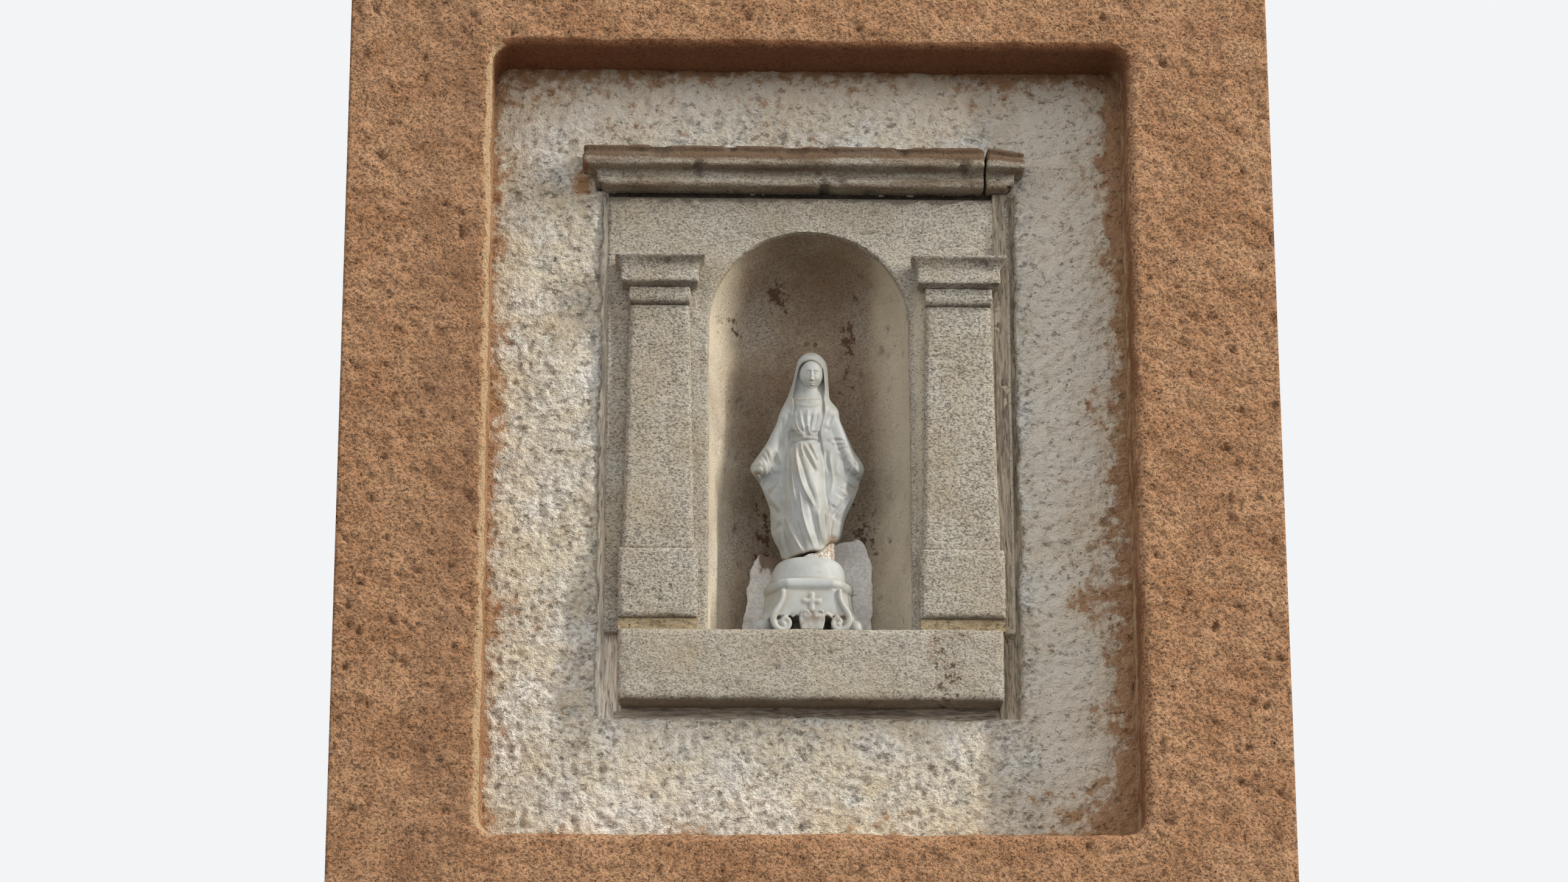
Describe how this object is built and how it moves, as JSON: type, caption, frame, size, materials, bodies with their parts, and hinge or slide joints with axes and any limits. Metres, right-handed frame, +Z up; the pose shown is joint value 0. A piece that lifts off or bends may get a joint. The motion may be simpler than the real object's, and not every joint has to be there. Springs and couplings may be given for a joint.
{
  "type": "wall shrine with a glazed figure, in a section of wall",
  "caption": "Small stone wall shrine: a round-headed niche with pilasters, sill and cornice in a recess of a rendered wall, holding a glazed figure.",
  "frame": {"origin": "middle of the wall section's flat underside", "axes": "+X to the right seen from the front, +Y from the front into the wall, +Z up"},
  "size_m": [1.16, 0.3, 1.37],
  "materials": {
    "masonry": "rubble masonry, rough",
    "render": "coarse roughcast, matt",
    "plaster": "rough lime plaster, matt",
    "mortar": "brushed mortar, matt",
    "limestone": "weathered, pitted, matt",
    "packing": "pale mortar, matt",
    "glaze": "glossy white glaze"
  },
  "bodies": {
    "root": {"wall_core": "masonry", "wall_render": "render", "reveal_render": "render", "recess_plaster": "plaster", "mortar_left": "mortar", "mortar_right": "mortar", "mortar_foot": "mortar", "mortar_bed": "mortar", "left_joint": "mortar", "right_joint": "mortar", "sill_block": "limestone", "niche_stone": "limestone", "left_pedestal": "limestone", "left_shaft": "limestone", "left_necking": "limestone", "left_capital": "limestone", "right_pedestal": "limestone", "right_shaft": "limestone", "right_necking": "limestone", "right_capital": "limestone", "cornice_main": "limestone", "cornice_end": "limestone", "packing_left": "packing", "packing_right": "packing", "repair_cement": "packing", "base_body": "glaze", "base_torus": "glaze", "base_mound": "glaze", "base_cartouche": "glaze", "base_cross": "glaze", "left_scroll": "glaze", "right_scroll": "glaze", "left_foot": "glaze", "right_foot": "glaze", "robe": "glaze", "belt": "glaze", "bodice": "glaze", "mantle": "glaze", "veil": "glaze", "neck": "glaze", "head": "glaze", "left_hand": "glaze", "right_hand": "glaze"}
  },
  "joints": []
}
